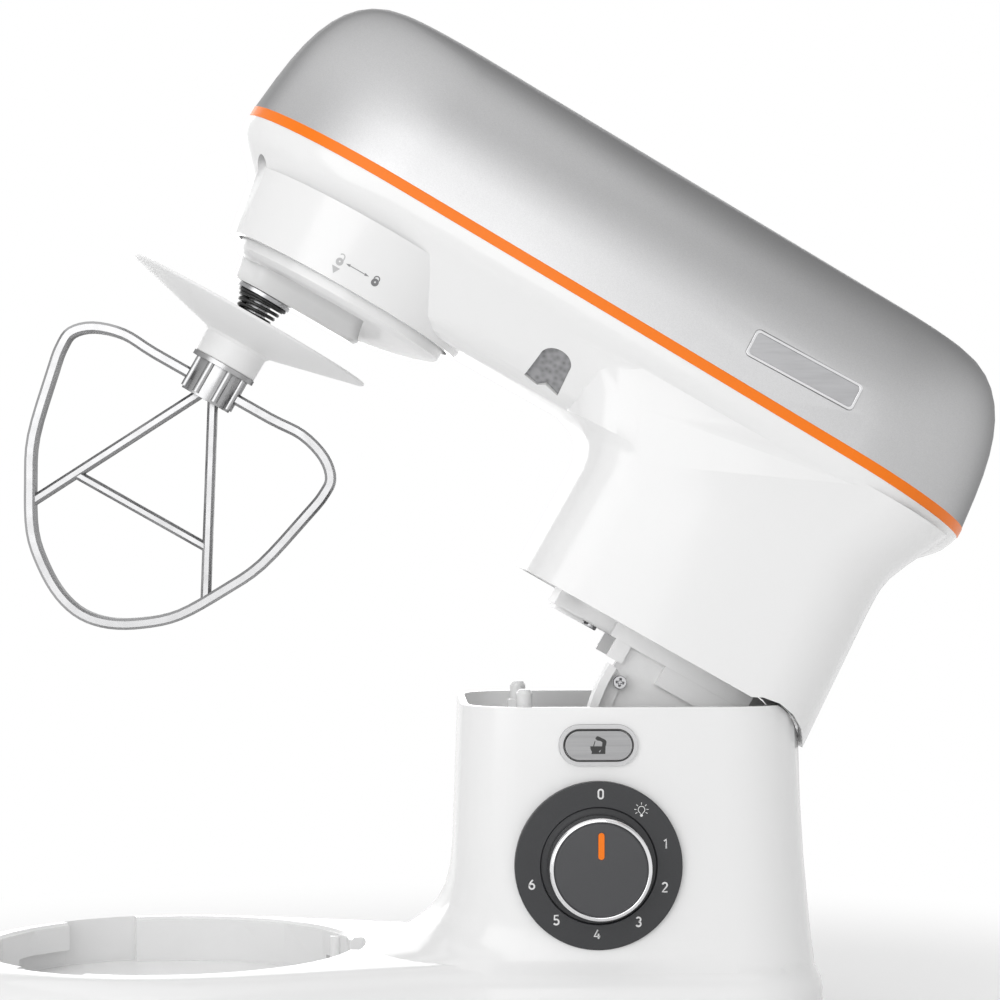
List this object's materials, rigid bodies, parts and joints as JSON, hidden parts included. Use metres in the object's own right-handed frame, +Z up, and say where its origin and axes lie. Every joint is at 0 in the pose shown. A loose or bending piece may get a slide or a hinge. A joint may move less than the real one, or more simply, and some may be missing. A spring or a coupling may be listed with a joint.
{
  "type": "tilt-head stand mixer",
  "caption": "Tilt-head stand mixer, head raised: round bowl seat, column with speed dial and release button, planetary hub and flat beater.",
  "frame": {"origin": "on the ground under the centre of the box round the whole mixer with its head raised", "axes": "+X from the bowl side to the hinge side, +Y away from the dial side, +Z up"},
  "size_m": [0.4526, 0.1952, 0.4409],
  "materials": {
    "white_housing": "gloss",
    "white_carrier": "satin",
    "white_disc": "satin",
    "grey_plastic": "matt",
    "light_grey": "satin",
    "dark_grey": "satin",
    "black_plastic": "matt",
    "rubber": "matt",
    "screw_steel": "plated",
    "zinc_steel": "zinc plated",
    "brushed_button": "brushed",
    "chrome_ring": "polished",
    "orange_accent": "gloss",
    "silver_cover": "silver metallic, gloss",
    "badge_grey": "satin",
    "lamp_lens": "frosted",
    "board_green": "satin",
    "cast_alloy": "as cast",
    "gear_steel": "machined",
    "gear_nylon": "satin",
    "bearing_bronze": "machined",
    "lamination": "dull",
    "copper_wire": "enamelled",
    "shaft_steel": "ground",
    "dark_spring": "black oxide",
    "polished_aluminium": "polished"
  },
  "bodies": {
    "base": {"base_shell": "white_housing", "bottom_plate": "grey_plastic", "rubber_feet": "rubber", "base_screws": "screw_steel", "locating_pins": "white_housing", "hinge_brackets": "zinc_steel", "hinge_pin": "zinc_steel", "dial_bezel": "dark_grey", "button_bezel": "light_grey", "speed_switch": "black_plastic", "control_board": "board_green", "cord_gland": "rubber", "lock_bracket": "zinc_steel", "lock_pin": "zinc_steel"},
    "button": {"release_button": "brushed_button"},
    "lock": {"lock_lever": "zinc_steel"},
    "knob": {"dial_knob": "dark_grey", "knob_ring": "chrome_ring", "knob_pointer": "orange_accent", "knob_shaft": "zinc_steel"},
    "head": {"top_cover": "silver_cover", "trim_band": "orange_accent", "head_housing": "white_housing", "badge_frame": "chrome_ring", "badge_plate": "badge_grey", "lamp_lens": "lamp_lens", "lamp_board": "board_green", "neck_plate": "white_housing", "hinge_carrier": "white_carrier", "carrier_screws": "screw_steel", "cover_screws": "screw_steel", "drive_chassis": "cast_alloy", "gearbox_lid": "cast_alloy", "ring_gear": "gear_steel", "bearings": "bearing_bronze", "motor_stator": "lamination", "field_windings": "copper_wire", "motor_brackets": "cast_alloy", "drive_screws": "screw_steel", "brush_holders": "bearing_bronze", "drive_belt": "rubber"},
    "rotor": {"armature_shaft": "gear_steel", "armature_core": "lamination", "commutator": "copper_wire", "motor_fan": "black_plastic", "motor_pulley": "gear_steel"},
    "layshaft": {"pinion_shaft": "gear_steel", "belt_pulley": "black_plastic"},
    "planetary": {"spindle": "gear_steel", "main_gear": "gear_nylon", "planetary_hub": "white_housing"},
    "output": {"output_shaft": "shaft_steel", "planet_gear": "gear_steel", "shaft_spring": "dark_spring"},
    "beater_set": {"beater": "polished_aluminium", "splash_disc": "white_disc"}
  },
  "joints": [
    {"name": "head_tilt", "type": "hinge", "parent": "base", "child": "head", "pos_m": [0.113, 0, 0.124], "axis": [0, 1, 0], "range_deg": [-29.5, 0]},
    {"name": "knob_turn", "type": "hinge", "parent": "base", "child": "knob", "pos_m": [0.05, -0.06, 0.0803], "axis": [0, 1, 0], "range_deg": [0, 252]},
    {"name": "release_press", "type": "slide", "parent": "base", "child": "button", "axis": [0, 1, 0], "range_m": [0, 0.0035], "stiffness_N_per_m": 600, "springref_m": -0.002},
    {"name": "lock_swing", "type": "hinge", "parent": "base", "child": "lock", "pos_m": [0.0575, -0.0447, 0.116], "axis": [1, 0, 0], "range_deg": [-15.5, 0]},
    {"name": "motor_spin", "type": "hinge", "parent": "head", "child": "rotor", "pos_m": [0.09181, 0, 0.2348], "axis": [0.4924, 0, 0.8704], "continuous": true},
    {"name": "pinion_spin", "type": "hinge", "parent": "head", "child": "layshaft", "pos_m": [0.01286, 0, 0.33691], "axis": [0.4924, 0, 0.8704], "continuous": true},
    {"name": "planetary_spin", "type": "hinge", "parent": "head", "child": "planetary", "pos_m": [-0.05035, 0, 0.32672], "axis": [0.4924, 0, 0.8704], "continuous": true},
    {"name": "output_spin", "type": "hinge", "parent": "planetary", "child": "output", "pos_m": [-0.08566, 0, 0.32372], "axis": [0.4924, 0, 0.8704], "continuous": true},
    {"name": "beater_draw", "type": "slide", "parent": "output", "child": "beater_set", "axis": [-0.4924, 0, -0.8704], "range_m": [0, 0.03]}
  ],
  "couplings": [
    {"joint": "lock_swing", "follows": "release_press", "rad_per_m": -75.2},
    {"joint": "pinion_spin", "follows": "motor_spin", "ratio": 0.2},
    {"joint": "planetary_spin", "follows": "motor_spin", "ratio": -0.05},
    {"joint": "output_spin", "follows": "motor_spin", "ratio": 0.16471}
  ]
}
